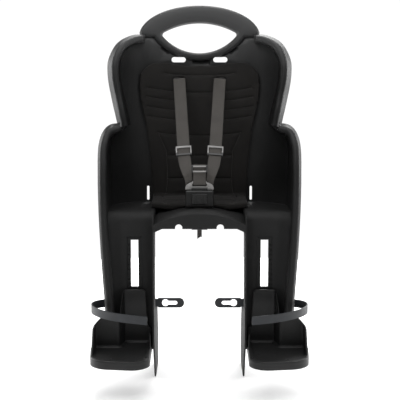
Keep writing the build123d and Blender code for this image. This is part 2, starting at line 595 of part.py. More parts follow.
shanks = foot_bolt(1.5, FOOT_REAR + 1, clip_far + 1)
heads = foot_bolt(3.2, clip_far + 0.1, clip_far + 2.6)
pins = Compound([shank + head for shank, head in zip(shanks, heads)])
parts["footrest_screws_right"], parts["footrest_screws_left"] = both(pins)

# Foot bands: behind the calf wall, round the outside and across the foot, with a keyhole tail
band_line = [(x, BAND_REAR) for x in (31, 60, 90, 114, SLOT_X + 15, 172)]
band_line += [(196, 170), (211, 154), (214, 134), (206, 108), (180, 76), (148, 54), (116, 40), (99, 34)]
band_face = strip([(x, deep(d)) for x, d in band_line], FOOT_BAND_THICK)


def band_layer(tall):
    return extrude(Pos(0, 0, FOOT_BAND_Z) * band_face, amount=tall / 2, both=True)


tail_mid = slot_prism(90, FOOT_BAND_Z, 118, TAIL_BAND, 100, 300)
tail = band_layer(TAIL_BAND) & tail_mid & block((0, 84), (100, 300), (0, 400))
band = band_layer(FOOT_BAND) & block((60, 300), (0, 300), (0, 400))
band = band + tail
band -= slot_prism(69, FOOT_BAND_Z, 14, 14.4, 150, 200)
band -= slot_prism(55, FOOT_BAND_Z, 20, 8, 150, 200)
parts["foot_band_right"], parts["foot_band_left"] = both(band)


# Clamp under the pan for the two rods of a carrier bow
def rod_half(low, high):
    """Half of the clamp between two heights, with grooves for the rods and holes for the bolts."""
    half = block((-BLOCK_HALF, BLOCK_HALF), (BLOCK_FRONT, BLOCK_BACK), (low, high))
    half = fillet(half.edges().filter_by(Axis.Z), 8)
    half -= [Plane(spot(x, MIDDLE, ROD_Z), z_dir=(0, 1, 0)) * Cylinder(ROD_R, THROUGH)
             for x in (-ROD_X, ROD_X)]
    return half - bolt(BOLT_R + GAP, low - 1, high + 1)


upper = rod_half(ROD_Z + GAP, PAN_Z + 12) - pan_arch(-WALL / 2 - GAP, 40)
for x in ((-14, 14), (-58, -50), (50, 58)):
    upper -= block(x, (BLOCK_FRONT + 8, BLOCK_BACK - 8), (ROD_Z + 8, PAN_Z + 20))
parts["rod_block"] = upper
lower = rod_half(PLATE_FOOT, ROD_Z - GAP)
nut_low, nut_high = PLATE_FOOT + GAP, PLATE_FOOT + 5


def nuts(radius, low, high):
    return [Pos(spot(x, d, low)) * extrude(RegularPolygon(radius, 6), amount=high - low)
            for x in (-BOLT_X, BOLT_X) for d in BOLT_DEPTHS]


parts["rod_plate"] = lower - nuts(5.8 + GAP, PLATE_FOOT - 1, nut_high)
parts["rod_nuts"] = Compound([nut - hole for nut, hole in zip(nuts(5.8, nut_low, nut_high - 0.1),
                                                              bolt(BOLT_R + 0.1, PLATE_FOOT - 1, ROD_Z))])
shanks, heads = bolt(BOLT_R, nut_low, head_z + 1), bolt(HEAD_R, head_z, head_z + HEAD_TALL)
parts["rod_bolts"] = Compound([shank + head for shank, head in zip(shanks, heads)])

# Reflector on the back
lean = math.degrees(math.atan(BACK_LEAN + 2 * BACK_CURVE * (REFLECTOR_Z - PAN_Z)))
reflector = Box(74, 7, 42) + Pos(0, -2, 0) * Box(78, 3, 46)
reflector = fillet(reflector.edges().filter_by(Axis.Y), 6)
reflector_at = spot(0, back_depth(0, REFLECTOR_Z) + WALL / 2 + 3.5 + GAP, REFLECTOR_Z)
parts["reflector"] = Pos(reflector_at) * Rot(-lean, 0, 0) * reflector

os.makedirs("parts", exist_ok=True)
for name, piece in parts.items():
    export_step(piece, f"parts/{name}.step")
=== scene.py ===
"""Child bike seat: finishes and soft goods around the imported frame."""

import json
import math

import bmesh
import bpy
import numpy as np
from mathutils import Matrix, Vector
from mathutils.bvhtree import BVHTree
from mathutils.geometry import delaunay_2d_cdt

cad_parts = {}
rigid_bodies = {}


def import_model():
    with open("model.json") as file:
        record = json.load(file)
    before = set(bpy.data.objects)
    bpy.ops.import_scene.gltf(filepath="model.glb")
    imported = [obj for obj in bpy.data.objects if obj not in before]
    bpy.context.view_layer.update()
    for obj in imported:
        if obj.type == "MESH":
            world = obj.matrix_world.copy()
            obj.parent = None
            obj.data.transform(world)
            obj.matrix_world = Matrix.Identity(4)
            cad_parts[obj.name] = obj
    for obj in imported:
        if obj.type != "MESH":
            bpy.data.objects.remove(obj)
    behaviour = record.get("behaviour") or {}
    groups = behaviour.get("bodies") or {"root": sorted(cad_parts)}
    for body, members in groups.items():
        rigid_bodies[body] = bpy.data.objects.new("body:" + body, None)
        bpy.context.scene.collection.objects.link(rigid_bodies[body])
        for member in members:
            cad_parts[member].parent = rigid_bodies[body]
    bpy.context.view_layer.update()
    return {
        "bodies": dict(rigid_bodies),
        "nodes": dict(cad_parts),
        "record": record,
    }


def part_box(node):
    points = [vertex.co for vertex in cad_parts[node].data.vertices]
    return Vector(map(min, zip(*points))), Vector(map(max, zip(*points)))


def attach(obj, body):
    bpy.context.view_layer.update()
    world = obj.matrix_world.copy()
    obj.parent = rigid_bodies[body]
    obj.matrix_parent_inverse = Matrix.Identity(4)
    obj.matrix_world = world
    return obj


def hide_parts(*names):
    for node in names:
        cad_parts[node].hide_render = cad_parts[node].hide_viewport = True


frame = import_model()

scene = bpy.context.scene
bodies = frame["record"]["behaviour"]["bodies"]
body_of_node = {node: body for body, nodes in bodies.items() for node in nodes}
kept = set(frame["nodes"].values()) | set(frame["bodies"].values())
for leftover in [o for o in bpy.data.objects if o not in kept]:
    bpy.data.objects.remove(leftover)

MM = 0.001
MIDDLE = 175.75  # depth of the origin behind the toe, mm
WEB_WIDE, WEB_THICK = 25.0, 1.6
SIDES = (("right", 1), ("left", -1))


# Node trees

class Flow:
    """A socket that can stand in arithmetic; each operation adds a Math node."""

    def __init__(self, board, socket):
        self.board, self.socket = board, socket

    def math(self, operation, *terms):
        return self.board.node("ShaderNodeMath", {"operation": operation}, dict(enumerate(terms)))

    def __add__(self, other):
        return self.math("ADD", self, other)

    def __radd__(self, other):
        return self.math("ADD", other, self)

    def __sub__(self, other):
        return self.math("SUBTRACT", self, other)

    def __rsub__(self, other):
        return self.math("SUBTRACT", other, self)

    def __mul__(self, other):
        return self.math("MULTIPLY", self, other)

    def __abs__(self):
        return self.math("ABSOLUTE", self)

    def sine(self):
        return self.math("SINE", self)

    def over(self, low, high):
        """0 below low, 1 above high, smooth between."""
        return self.board.node("ShaderNodeMapRange", {"interpolation_type": "SMOOTHSTEP"},
                               {0: self, 1: low, 2: high})


class Board:
    """A node tree that grows node by node."""

    def __init__(self, tree):
        self.tree = tree

    def node(self, kind, settings=None, sockets=None, out=0):
        """Adds a node, sets it, joins or sets its sockets, and gives one of its outputs."""
        node = self.tree.nodes.new(kind)
        for name, value in (settings or {}).items():
            setattr(node, name, value)
        for name, value in (sockets or {}).items():
            if isinstance(value, Flow):
                self.tree.links.new(value.socket, node.inputs[name])
            else:
                node.inputs[name].default_value = value
        return Flow(self, node.outputs[out]) if len(node.outputs) else None


class Finish(Board):
    """A material whose shader takes constants on its own sockets and flows for what varies."""

    def __init__(self, name, **constants):
        self.material = bpy.data.materials.new(name)
        self.material.use_nodes = True
        super().__init__(self.material.node_tree)
        self.shader = next(n for n in self.tree.nodes if n.type == "BSDF_PRINCIPLED")
        for socket, value in constants.items():
            self.shader.inputs[socket.replace("_", " ")].default_value = value

    def feed(self, **flows):
        """Joins flows to the shader's sockets and gives the finished material."""
        for socket, flow in flows.items():
            self.tree.links.new(flow.socket, self.shader.inputs[socket.replace("_", " ")])
        return self.material

    def place(self):
        return self.node("ShaderNodeTexCoord", out="Object")

    def noise(self, place, scale, detail=2.0, rough=0.5):
        return self.node("ShaderNodeTexNoise", None,
                         {"Vector": place, "Scale": scale, "Detail": detail, "Roughness": rough})

    def stretched(self, place, scale):
        return self.node("ShaderNodeMapping", None, {"Vector": place, "Scale": scale})

    def blend(self, share, first, second):
        return self.node("ShaderNodeMix", {"data_type": "RGBA"},
                         {0: share, 6: first, 7: second}, out=2)

    def axes(self, place):
        split = self.node("ShaderNodeSeparateXYZ", None, {0: place})
        outs = split.socket.node.outputs
        return [Flow(self, outs[i]) for i in range(3)]

    def bump(self, height, deep, strength=1.0, normal=None):
        sockets = {"Height": height, "Distance": deep, "Strength": strength}
        if normal:
            sockets["Normal"] = normal
        return self.node("ShaderNodeBump", None, sockets)


def grey(level, warm=0.0):
    """Linear colour of a grey, a little warmer or cooler."""
    return (level * (1 + warm), level, level * (1 - warm), 1.0)


def turns(pitch):
    """Angle for each unit of length of a wave that repeats at a pitch."""
    return 2 * math.pi / pitch


# Finishes

HIGHLIGHT_FROM, HIGHLIGHT_TO = 0.615, 0.72  # heights between which the painted highlight on the head sets in, m
DULL_BELOW, GLOSS_ABOVE = 0.335, 0.40  # the legs are dull below the first, not above the second, m
DULL_BY = 0.19  # roughness that the legs have more


def moulded_plastic(name, level, rough, grain, warm=0.0, rub=0.02, edge=1.2, head_highlight=0.0,
                    **constants):
    """Moulded plastic: fine grain, uneven gloss, handling marks, rubbed edges.
    Given a grey for the head, the handle and wing tops get a painted highlight in that grey, and
    the legs are duller."""
    f = Finish(name, **constants)
    place = f.place()
    fine = f.noise(place, grain, 3.0, 0.65)
    broad = f.noise(place, 11.0, 3.0)
    swirl = f.noise(f.stretched(place, (40.0, 40.0, 420.0)), 1.0, 2.0)
    edge_normal = f.node("ShaderNodeBevel", {"samples": 4}, {"Radius": edge * MM})
    true_normal = f.node("ShaderNodeNewGeometry", out="Normal")
    turned = f.node("ShaderNodeVectorMath", {"operation": "DOT_PRODUCT"},
                    {0: edge_normal, 1: true_normal}, out="Value")
    rubbed = (1 - turned).over(0.02, 0.3) * broad.over(0.35, 0.7)
    marks = swirl.over(0.62, 0.78)
    tone = f.blend(broad.over(0.3, 0.7), grey(level * 0.8, warm), grey(level * 1.15, warm))
    tone = f.blend(rubbed * 0.6 + marks * 0.08, tone, grey(level + rub, warm))
    gloss = rough + (broad - 0.5) * 0.16 + marks * 0.07 + (fine - 0.5) * 0.1 - rubbed * 0.06
    # painted highlight: greyer towards the head, where the handle and wing tops would catch the
    # light
    if head_highlight:
        height = f.axes(place)[2]
        tone = f.blend(height.over(HIGHLIGHT_FROM, HIGHLIGHT_TO), tone, grey(head_highlight, warm))
        gloss = gloss + (1 - height.over(DULL_BELOW, GLOSS_ABOVE)) * DULL_BY
    return f.feed(Base_Color=tone, Roughness=gloss,
                  Normal=f.bump(fine, 0.12 * MM, 0.35, edge_normal))


def pad_fabric():
    """Knitted cover over foam: warm black, dull, with a fine ribbed knit."""
    f = Finish("pad_fabric", Sheen_Weight=0.06, Sheen_Roughness=0.45, Specular_IOR_Level=0.25)
    place = f.place()
    x, y, z = f.axes(place)
    along = (z + y) * turns(1.7 * MM)
    across = x * turns(1.3 * MM)
    loops = along.sine() * 0.5 + (across + along.sine() * 0.9).sine() * 0.5
    nap = f.noise(place, 900.0, 2.0)
    broad = f.noise(place, 16.0, 3.0)
    tone = f.blend(broad.over(0.3, 0.7), (0.0068, 0.0061, 0.0056, 1), (0.0104, 0.0094, 0.0086, 1))
    tone = f.blend(loops.over(-0.2, 0.9) * 0.5, tone, (0.0152, 0.0138, 0.0128, 1))
    return f.feed(Base_Color=tone, Roughness=0.86 + (nap - 0.5) * 0.16,
                  Normal=f.bump(loops * 0.7 + nap * 0.5, 0.22 * MM, 0.5))


def webbing_finish():
    """Grey polyester webbing: ribs of weft across it, warp lines along it, darker selvedges."""
    f = Finish("webbing", Sheen_Weight=0.1, Sheen_Roughness=0.4, Specular_IOR_Level=0.3)
    u, v, _ = f.axes(f.node("ShaderNodeUVMap", {"uv_map": "weave"}))
    warp = (u * turns(1.25)).sine()
    weft = (v * turns(1.6) + warp * 1.3).sine()
    twill = ((u * 0.9 + v * 0.55) * turns(2.6)).sine()
    edge = abs(u - WEB_WIDE / 2).over(10.6, 11.4)
    place = f.place()
    fuzz = f.noise(place, 1400.0, 2.0)
    soil = f.noise(place, 30.0, 3.0)
    weave = weft * 0.6 + warp * 0.25 + twill * 0.15
    tone = f.blend(weave.over(-0.7, 0.8), (0.040, 0.0367, 0.0333, 1), (0.085, 0.0785, 0.072, 1))
    tone = f.blend(soil.over(0.35, 0.75) * 0.35, tone, (0.034, 0.031, 0.028, 1))
    tone = f.blend(edge * 0.45, tone, (0.03, 0.0275, 0.025, 1))
    return f.feed(Base_Color=tone, Roughness=0.74 + (fuzz - 0.5) * 0.2,
                  Normal=f.bump(weave * 0.8 + fuzz * 0.3, 0.2 * MM, 0.6))


def thread_finish():
    """Sewing thread with a twist."""
    f = Finish("thread", Sheen_Weight=0.1)
    place = f.place()
    twist = f.node("ShaderNodeTexWave", {"bands_direction": "DIAGONAL"},
                   {"Vector": place, "Scale": 700.0, "Distortion": 0.5})
    shade = f.noise(place, 200.0)
    twisted = f.node("ShaderNodeSeparateColor", None, {0: twist})
    return f.feed(Base_Color=f.blend(shade, (0.05, 0.047, 0.044, 1), (0.085, 0.08, 0.075, 1)),
                  Roughness=0.7 + shade * 0.15, Normal=f.bump(twisted, 0.05 * MM, 0.4))


def band_rubber():
    """Soft rubber: blue-black, chalky bloom in places, fine mould texture."""
    f = Finish("band_rubber", Specular_IOR_Level=0.4)
    place = f.place()
    fine = f.noise(place, 1600.0, 2.0)
    bloom = f.noise(place, 24.0, 4.0, 0.6)
    tone = f.blend(bloom.over(0.42, 0.75), (0.013, 0.015, 0.018, 1), (0.026, 0.029, 0.034, 1))
    edge_normal = f.node("ShaderNodeBevel", {"samples": 4}, {"Radius": 0.6 * MM})
    return f.feed(Base_Color=tone, Roughness=0.46 + (bloom - 0.5) * 0.25 + (fine - 0.5) * 0.08,
                  Normal=f.bump(fine, 0.06 * MM, 0.3, edge_normal))


def screw_steel():
    """Zinc-plated steel with turning marks and dull spots."""
    f = Finish("screw_steel", Metallic=1.0)
    place = f.place()
    spots = f.noise(place, 380.0, 4.0, 0.6)
    brushed = f.noise(f.stretched(place, (2600.0, 160.0, 2600.0)), 1.0, 2.0)
    tone = f.blend(spots.over(0.5, 0.75), (0.60, 0.61, 0.62, 1), (0.36, 0.35, 0.33, 1))
    return f.feed(Base_Color=tone, Roughness=0.26 + spots * 0.22 + brushed * 0.1,
                  Normal=f.bump(brushed, 0.03 * MM, 0.3))


def reflector_red():
    """Red lens with a lit-up rib pattern and surface dust."""
    f = Finish("reflector_red", Coat_Weight=0.3, Coat_Roughness=0.12)
    place = f.place()
    x, _, z = f.axes(place)
    cell = turns(3.2 * MM)
    cells = ((x * cell).sine() * (z * cell).sine()).over(-0.6, 0.6)
    dust = f.noise(place, 60.0, 4.0, 0.6)
    tone = f.blend(cells, (0.13, 0.003, 0.003, 1), (0.36, 0.008, 0.007, 1))
    tone = f.blend(dust.over(0.55, 0.85) * 0.2, tone, (0.22, 0.03, 0.027, 1))
    return f.feed(Base_Color=tone, Roughness=0.14 + dust.over(0.4, 0.8) * 0.2,
                  Normal=f.bump(cells, 0.15 * MM, 0.5))


# the shell's head grey is a painted highlight on the handle and wing tops
SHELL = moulded_plastic("shell_plastic", 0.0072, 0.48, 1300.0, warm=-0.01, rub=0.006, edge=3.0,
                        head_highlight=0.052, Specular_IOR_Level=0.30)
FOOT = moulded_plastic("footrest_plastic", 0.0085, 0.46, 900.0, warm=-0.01, rub=0.006, edge=4.0,
                       Specular_IOR_Level=0.32)
BUCKLE = moulded_plastic("buckle_plastic", 0.008, 0.30, 1800.0, edge=0.7, Specular_IOR_Level=0.4)
BUTTON = moulded_plastic("button_plastic", 0.010, 0.36, 1600.0, edge=0.5, Specular_IOR_Level=0.4)
SLIDE = moulded_plastic("slide_plastic", 0.24, 0.36, 1500.0, warm=0.02, rub=0.08, edge=0.5)
BAR = moulded_plastic("bar_plastic", 0.03, 0.42, 1500.0, edge=0.5)
CLAMP = moulded_plastic("clamp_plastic", 0.028, 0.50, 1000.0, edge=0.8)
PAD_FABRIC, WEBBING, THREAD = pad_fabric(), webbing_finish(), thread_finish()
RUBBER, STEEL, LENS = band_rubber(), screw_steel(), reflector_red()


# Mesh helpers

def new_object(name, data):
    """An object of the scene."""
    made = bpy.data.objects.new(name, data)
    scene.collection.objects.link(made)
    return made


def piece(name, mesh, body, slot, *nodes):
    """A finished piece on its body, standing for CAD nodes."""
    made = new_object(name, mesh)
    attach(made, body)
    if nodes:
        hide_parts(*nodes)
    return made


def in_order(elements):
    """Faces or corners of a form in the order of its mesh, the same in each run."""
    return sorted(elements, key=lambda element: element.index)


def shaded(form, mesh, sharp):
    """Writes a form to a mesh, smooth with its sharp edges kept."""
    for face in form.faces:
        face.smooth = True
    for edge in form.edges:
        edge.smooth = edge.calc_face_angle(0.0) < math.radians(sharp)
    form.to_mesh(mesh)
    form.free()
    mesh.materials.clear()
    return mesh


def built(form, mesh, sharp, finish):
    """A form made here, its faces turned outwards, as a mesh in its finish."""
    bmesh.ops.recalc_face_normals(form, faces=form.faces)
    shaded(form, mesh, sharp).materials.append(finish)
    return mesh


def copied_form(node, sharp, flat_angle=0.0, shaping=None):
    """A merged copy of a CAD node's mesh, shaped further if asked, smooth with sharp edges kept."""
    mesh = frame["nodes"][node].data.copy()
    mesh.name = node + "_form"
    for spare in ("custom_normal", "sharp_face", "sharp_edge"):
        if spare in mesh.attributes:
            mesh.attributes.remove(mesh.attributes[spare])
    form = bmesh.new()
    form.from_mesh(mesh)
    bmesh.ops.remove_doubles(form, verts=form.verts, dist=2e-6)
    if flat_angle:
        bmesh.ops.dissolve_limit(form, angle_limit=math.radians(flat_angle),
                                 verts=form.verts, edges=form.edges)
    if shaping:
        shaping(form)
    return shaded(form, mesh, sharp)


def split_at(planes):
    """Cuts faces along planes, so that each side can have a finish of its own."""
    def cut(form):
        for place, way in planes:
            whole = form.verts[:] + form.edges[:] + form.faces[:]
            bmesh.ops.bisect_plane(form, geom=whole, plane_co=place, plane_no=way, dist=1e-7)
    return cut


def moulding(node, finish, slot, sharp=32.0, round_by=0.0, shaping=None, painted_shade=None):
    """The CAD form of a node in its finish, its edges rounded where it is small hardware.
    Given planes to cut at and a test of a face's middle, the faces that pass get the dark bar
    finish as painted shade."""
    shaping = split_at(painted_shade[0]) if painted_shade else shaping
    mesh = copied_form(node, sharp, 0.5 if round_by else 0.0, shaping)
    mesh.materials.append(finish)
    # painted shade: the faces that pass the test get the dark bar finish
    if painted_shade:
        mesh.materials.append(BAR)
        for face in mesh.polygons:
            face.material_index = int(painted_shade[1](face.center))
    made = piece(node + "_finished", mesh, body_of_node[node], slot, node)
    if round_by:
        bevel = made.modifiers.new("rounded edges", "BEVEL")
        bevel.width, bevel.segments = round_by * MM, 2
        bevel.limit_method, bevel.angle_limit = "ANGLE", math.radians(40)
        bevel.use_clamp_overlap = True
    weighted = made.modifiers.new("even shading", "WEIGHTED_NORMAL")
    weighted.mode, weighted.keep_sharp = "FACE_AREA_WITH_ANGLE", True
    return made


def baked_mesh(made, name):
    """The evaluated mesh of an object, modifiers applied, as a mesh of its own."""
    made_now = made.evaluated_get(bpy.context.evaluated_depsgraph_get())
    mesh = bpy.data.meshes.new_from_object(made_now)
    mesh.name = name
    return mesh


def corner_rows(mesh, what="co"):
    """Places, or normals, of a mesh's corners as rows."""
    flat = np.empty(len(mesh.vertices) * 3)
    mesh.vertices.foreach_get(what, flat)
    return flat.reshape(-1, 3)


def set_corners(mesh, points):
    """Moves a mesh's corners to the places given."""
    mesh.vertices.foreach_set("co", np.ascontiguousarray(points, dtype=np.float32).ravel())
    mesh.update()


def run_along(line):
    """How far along a line each of its points is."""
    return np.r_[0, np.cumsum(np.linalg.norm(np.diff(line, axis=0), axis=1))]


# Moulded and metal pieces

GRIP_ROLL = 6.0 * MM  # rounding of the handle's edge in the CAD form
GRIP_CROWN, GRIP_SPAN = 3.4 * MM, 16.0 * MM  # how far its edge goes back, over which width
GRIP_MESH = 4.0 * MM  # spacing of the new mesh on its front
GRIP_ABOVE = 0.725  # its front face lies above this height, m
FLAT_SLACK, ROLL_SLACK = 0.1 * MM, 0.3 * MM  # by which a face may miss the plane or the roll


def spread_faces(start, near_turn, test):
    """Faces reached from a face over edges that turn little, as far as a test allows."""
    found, edge_of = {start}, [start]
    while edge_of:
        for edge in edge_of.pop().edges:
            for face in edge.link_faces:
                if face not in found and edge.calc_face_angle(9.0) < near_turn and test(face):
                    found.add(face)
                    edge_of.append(face)
    return found


def line_distance(flat, ends):
    """Distance of flat points from the nearest of some straight edges."""
    nearest = np.full(len(flat), 1e3)
    for a, b in ends:
        run = b - a
        share = np.clip(((flat - a) @ run) / max(run @ run, 1e-18), 0, 1)
        nearest = np.minimum(nearest, np.linalg.norm(flat - a - share[:, None] * run, axis=1))
    return nearest


def inside(flat, ends):
    """Whether flat points lie inside closed outlines."""
    within = np.zeros(len(flat), bool)
    for a, b in ends:
        crosses = (a[1] > flat[:, 1]) != (b[1] > flat[:, 1])
        rise = b[1] - a[1] if abs(b[1] - a[1]) > 1e-15 else 1e-15
        within ^= crosses & (flat[:, 0] < a[0] + (flat[:, 1] - a[1]) / rise * (b[0] - a[0]))
    return within


def crown_handle(form):
    """Turns the flat front of the handle into a crowned one."""
    form.verts.index_update()
    form.faces.index_update()
    front = [f for f in form.faces
             if f.normal.y < -0.9 and f.calc_center_median().z > GRIP_ABOVE]
    seed = max(front, key=lambda f: f.calc_area())
    out, origin = seed.normal.copy(), seed.verts[0].co.copy()
    across = Vector((1, 0, 0))
    upward = across.cross(out)
    upward *= 1 if upward.z > 0 else -1

    def flat(points):
        return np.array([((p - origin).dot(across), (p - origin).dot(upward)) for p in points])

    def sunk_by(face):
        return (origin - face.calc_center_median()).dot(out)

    plane = spread_faces(seed, math.radians(1.0), lambda f: abs(sunk_by(f)) < FLAT_SLACK)
    rolled = spread_faces(seed, math.radians(30), lambda f: sunk_by(f) < GRIP_ROLL + ROLL_SLACK)
    rim = [e for f in in_order(plane) for e in f.edges
           if sum(g in plane for g in e.link_faces) == 1]
    ends = [tuple(flat([v.co for v in e.verts])) for e in rim]
    rim_verts = in_order({v for e in rim for v in e.verts})
    number = {v: i for i, v in enumerate(rim_verts)}
    rim_flat = flat([v.co for v in rim_verts])
    low, high = rim_flat.min(0), rim_flat.max(0)
    grid = np.meshgrid(*(np.arange(low[i], high[i], GRIP_MESH) for i in range(2)))
    grid = np.stack(grid, -1).reshape(-1, 2)
    grid = grid[inside(grid, ends) & (line_distance(grid, ends) > 0.5 * GRIP_MESH)]
    places = np.vstack([rim_flat, grid])
    net = delaunay_2d_cdt([Vector(p) for p in places],
                          [tuple(number[v] for v in e.verts) for e in rim], [], 0, 1e-9)
    verts = rim_verts + [form.verts.new(origin + across * x + upward * z) for x, z in grid]
    source = [old[0] if old else None for old in net[3]]
    bmesh.ops.delete(form, geom=in_order(plane), context="FACES")
    triangles = [t for t in net[2] if all(source[i] is not None for i in t)]
    middles = np.array([places[[source[i] for i in t]].mean(0) for t in triangles])
    for triangle, keep in zip(triangles, inside(middles, ends)):
        if keep:
            face = form.faces.new([verts[source[i]] for i in triangle])
            face.normal_update()
            if face.normal.dot(out) < 0:
                face.normal_flip()
    moved = list({v for f in rolled if f.is_valid for v in f.verts} | set(verts))
    moved_flat = flat([v.co for v in moved])
    reach = line_distance(moved_flat, ends)
    edge_off = GRIP_ROLL + np.where(inside(moved_flat, ends), reach, -reach)
    back = GRIP_CROWN * (1 - np.clip(edge_off / GRIP_SPAN, 0, 1)) ** 2
    for vertex, push in zip(moved, back):
        vertex.co -= out * float(push)


SLIDE_GREY = 12.6 * MM  # half width of the grey middle of the tongue's slide; its sides beyond are painted dark as shade
ADJUSTER_SHADE = 2.2 * MM  # an adjuster's lower part is painted dark as shade from this far under its middle

moulding("seat_shell", SHELL, "shell", 28.0, shaping=crown_handle)
moulding("buckle_body", BUCKLE, "buckle")
moulding("buckle_cover", BUCKLE, "buckle")
moulding("buckle_button", BUTTON, "button")
# the tongue slide's sides are painted dark as shade
moulding("tongue_slide", SLIDE, "slide_grey", round_by=0.5,
         painted_shade=([((x, 0, 0), (1, 0, 0)) for x in (-SLIDE_GREY, SLIDE_GREY)],
               lambda at: abs(at.x) > SLIDE_GREY))
moulding("buckle_stop", BAR, "slide_grey", round_by=0.5)
moulding("rod_block", CLAMP, "clamp")
moulding("rod_plate", CLAMP, "clamp")
moulding("rod_bolts", STEEL, "screw_steel")
moulding("rod_nuts", STEEL, "screw_steel", round_by=0.4)
moulding("reflector", LENS, "reflector_red", round_by=0.6)
for side, _ in SIDES:
    low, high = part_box("strap_adjuster_" + side)
    shade_below = (low.z + high.z) / 2 - ADJUSTER_SHADE
    # the adjuster's lower part gets the dark bar finish as painted shade
    moulding("strap_adjuster_" + side, SLIDE, "slide_grey", round_by=0.5,
             painted_shade=([((0, 0, shade_below), (0, 0, 1))],
                   lambda at, under=shade_below: at.z < under))
    moulding("strap_anchor_" + side, BAR, "slide_grey")
    moulding("footrest_" + side, FOOT, "footrest", 28.0)
    moulding("footrest_clip_" + side, FOOT, "footrest")
    moulding("foot_band_" + side, RUBBER, "band_rubber", 24.0)


# Pad: grooves are held down, the panels between them swell

GROOVE_RISE = 9.0  # ends of a cross groove above its middle, mm


def smile(z, near, far, steps=14):
    """A cross groove at a height, between two half widths, on both sides if it has a gap."""
    whole = near == 0
    xs = np.linspace(-far, far, 2 * steps + 1) if whole else np.linspace(near, far, steps)
    line = np.column_stack([xs, z + GROOVE_RISE * (xs / 100.0) ** 2])
    return [line] if whole else [line, line * (-1, 1)]


# Height and the half widths that a cross groove runs between; (x, z) of the panel's side;
# height and half width of the straight cross seams; (x, y) of the grooves of the pan, all in mm
CROSS_GROOVES = [(608, 0, 73), (572, 0, 110), (553, 46, 112), (533, 46, 112), (513, 46, 108),
                 (482, 0, 88)]
PANEL_SIDE = [(87, 488), (78, 468), (70, 451), (68, 411), (68, 385), (71, 362), (78, 352)]
PANEL_CROSS = [(440, 69), (392, 67)]
PAN_SIDE = [(66, 4), (74, 60), (78, 112)]
PAN_CROSS = [(-72, 52), (-40, 48), (0, 47), (40, 48), (72, 52)]
back_grooves = [line for z, near, far in CROSS_GROOVES for line in smile(z, near, far)]
back_grooves += [np.array(PANEL_SIDE, float) * (way, 1) for way in (1, -1)]
back_grooves += [np.array([(-half, z), (half, z)], float) for z, half in PANEL_CROSS]
pan_grooves = [np.array(PAN_SIDE, float) * (way, 1) for way in (1, -1)]
pan_grooves += [np.array(PAN_CROSS, float)]


def groove_distance(points, lines):
    """Distance of flat points from the nearest of some lines."""
    return line_distance(points, [ends for line in lines for ends in zip(line[:-1], line[1:])])


PAD_BEND = 0.360  # the pad is its back above this height, its seat below, m


def pad_facing(points, facing):
    """How far each point of the pad faces the child, and its distance from a groove, in mm."""
    on_back = points[:, 2] > PAD_BEND
    out = np.where(on_back, -facing[:, 1], facing[:, 2])
    front = np.clip((out - 0.25) / 0.5, 0, 1)
    mm = points / MM
    off = np.where(on_back, groove_distance(mm[:, (0, 2)], back_grooves),
                   groove_distance(mm[:, (0, 1)], pan_grooves))
    return front, off


PAD_VOXEL = 3.0 * MM  # size of the even mesh
PAD_SINK = 1.4 * MM  # by which the front goes in before it swells
PAD_SWELL = 3.2 * MM  # most that the cloth may move
HELD_NEAR = 4.0  # the cover is held this near to a groove, mm
SWELL_FRAMES = 20
SEAM_CUTS = ((1.7, 1.7), (0.7, 5.0))  # depth and width of a seam and of the dip round it, mm
SLIT_X, SLIT_Z, SLIT_HALF = 42.6 * MM, 601.0 * MM, 12.7 * MM
SLIT_FILL, SLIT_TALL = 5.0 * MM, 12.0 * MM  # length and height of what fills a slot's end


def narrow_slits(form):
    """Fills the ends of the strap slots in the pad up to the webbing."""
    near = [v.co.y for v in form.verts
            if abs(abs(v.co.x) - SLIT_X) < 20 * MM and abs(v.co.z - SLIT_Z) < 9 * MM]
    low_y, high_y = min(near), max(near)
    for x in (SLIT_X, -SLIT_X):
        for way in (-1, 1):
            made = bmesh.ops.create_cube(form, size=1.0)["verts"]
            start, end = x + way * SLIT_HALF, x + way * (SLIT_HALF + SLIT_FILL)
            for vertex in made:
                vertex.co = ((start + end) / 2 + vertex.co.x * abs(end - start),
                             (low_y + high_y) / 2 + vertex.co.y * (high_y - low_y - 1.0 * MM),
                             SLIT_Z + vertex.co.z * SLIT_TALL)


pad = new_object("seat_pad_cover", copied_form("seat_pad", 180.0, shaping=narrow_slits))
remesh = pad.modifiers.new("even mesh", "REMESH")
remesh.mode, remesh.voxel_size = "VOXEL", PAD_VOXEL
even = baked_mesh(pad, "seat_pad_even")
pad.modifiers.clear()
pad.data = even
rest = corner_rows(even)
facing = corner_rows(even, "normal")
front, off = pad_facing(rest, facing)
rest = rest - facing * (front * PAD_SINK)[:, None]
set_corners(even, rest)

held = pad.vertex_groups.new(name="held")
stays = np.clip(np.maximum(1 - front, 1 - off / HELD_NEAR), 0, 1)
for index in np.flatnonzero(stays > 0.02):
    held.add([int(index)], float(stays[index]), "REPLACE")
cloth = pad.modifiers.new("swell", "CLOTH")
fabric = cloth.settings
fabric.quality, fabric.mass = 4, 0.3
fabric.use_pressure, fabric.uniform_pressure_force = True, 4.0
fabric.effector_weights.gravity = 0.0
fabric.vertex_group_mass = "held"
cloth.collision_settings.use_collision = False
cloth.point_cache.frame_start, cloth.point_cache.frame_end = 1, SWELL_FRAMES
for step in range(1, SWELL_FRAMES + 1):
    scene.frame_set(step)
swollen = corner_rows(baked_mesh(pad, "seat_pad_swollen"))
pad.modifiers.clear()
pad.vertex_groups.clear()
scene.frame_set(1)
move = swollen - rest
far = np.linalg.norm(move, axis=1, keepdims=True)
move *= np.minimum(1.0, PAD_SWELL / np.maximum(far, 1e-9))
set_corners(even, rest + move * front[:, None])

